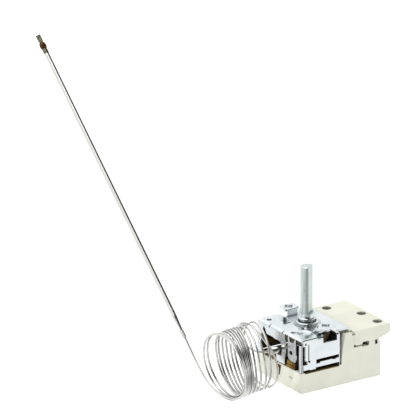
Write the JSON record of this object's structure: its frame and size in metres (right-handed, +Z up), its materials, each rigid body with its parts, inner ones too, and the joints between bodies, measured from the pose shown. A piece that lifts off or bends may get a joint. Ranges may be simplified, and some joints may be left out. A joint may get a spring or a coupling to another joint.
{
  "type": "capillary oven thermostat",
  "caption": "Oven thermostat with a D spindle, sheet-metal frame, moulded switch body, coiled capillary tube and a long rod-shaped sensing bulb.",
  "frame": {"origin": "on the spindle axis, in the plane of the flat underside of the moulded base", "axes": "+Z up along the spindle, out towards the knob; +X along the body to the terminal end; +Y along the short side of the body, from the front lug to the rear lug"},
  "size_m": [0.0911, 0.1432, 0.1295],
  "materials": {
    "cream_plastic": "satin moulded, cream white",
    "zinc_sheet": "bright zinc plated sheet",
    "amber_plastic": "amber brown moulding",
    "brown_plastic": "brown moulding",
    "spindle_steel": "satin plated, grey green",
    "spring_steel": "cold rolled spring strip",
    "stainless": "bright drawn stainless steel",
    "capsule_steel": "dull pressed stainless steel",
    "capillary_steel": "bright drawn capillary",
    "tinted_steel": "heat tinted, olive grey",
    "copper_braze": "copper brown braze",
    "brass_parts": "plain stamped brass",
    "contact_silver": "silver contact face",
    "ceramic_pin": "unglazed steatite"
  },
  "bodies": {
    "root": {"base_housing": "cream_plastic", "switch_cover": "cream_plastic", "top_frame": "zinc_sheet", "insulating_carrier": "amber_plastic", "friction_washer": "spring_steel", "calibration_screw": "spring_steel", "fixed_contact": "contact_silver", "main_terminal_in": "brass_parts", "main_terminal_out": "brass_parts", "aux_fixed_contact": "contact_silver", "aux_terminal_in": "brass_parts", "aux_terminal_out": "brass_parts", "capillary_tail": "capillary_steel", "capillary_coil": "capillary_steel", "capillary_lead": "capillary_steel", "bulb_sleeve": "tinted_steel", "bulb_tube": "stainless", "bulb_end_plug": "tinted_steel", "bulb_braze": "copper_braze", "bulb_tip": "tinted_steel"},
    "spindle_set": {"spindle": "spindle_steel", "spindle_ring": "zinc_sheet", "cam_drum": "brown_plastic"},
    "capsule": {"setting_screw": "brass_parts", "capsule_upper_shell": "capsule_steel", "capsule_lower_shell": "capsule_steel", "capsule_boss": "capsule_steel", "diaphragm_button": "stainless", "capillary_ferrule": "stainless"},
    "thrust_pin": {"thrust_pin": "ceramic_pin"},
    "main_blade": {"snap_blade": "spring_steel", "moving_contact": "contact_silver"},
    "plunger": {"aux_plunger": "ceramic_pin"},
    "signal_blade": {"aux_blade": "spring_steel", "aux_moving_contact": "contact_silver"}
  },
  "joints": [
    {"name": "spindle_turn", "type": "hinge", "parent": "root", "child": "spindle_set", "pos_m": [0, 0, 0.03], "axis": [0, 0, -1], "range_deg": [0, 280]},
    {"name": "capsule_travel", "type": "slide", "parent": "root", "child": "capsule", "axis": [0, 0, 1], "range_m": [0, 0.0007]},
    {"name": "pin_stroke", "type": "slide", "parent": "root", "child": "thrust_pin", "axis": [0, 0, -1], "range_m": [0, 0.0005]},
    {"name": "blade_snap", "type": "hinge", "parent": "root", "child": "main_blade", "pos_m": [0.006, 0, 0.0046], "axis": [0, -1, 0], "range_deg": [0, 5]},
    {"name": "plunger_stroke", "type": "slide", "parent": "root", "child": "plunger", "axis": [1, 0, 0], "range_m": [0, 0.001]},
    {"name": "signal_blade_bend", "type": "hinge", "parent": "root", "child": "signal_blade", "pos_m": [0.01375, -0.0105, 0.0188], "axis": [0, 0, -1], "range_deg": [0, 5.85]}
  ],
  "couplings": [
    {"joint": "capsule_travel", "follows": "spindle_turn", "m_per_rad": 0.000143},
    {"joint": "blade_snap", "follows": "pin_stroke", "rad_per_m": 160},
    {"joint": "plunger_stroke", "follows": "spindle_turn", "m_per_rad": 0.0002},
    {"joint": "signal_blade_bend", "follows": "spindle_turn", "ratio": 0.0208}
  ]
}
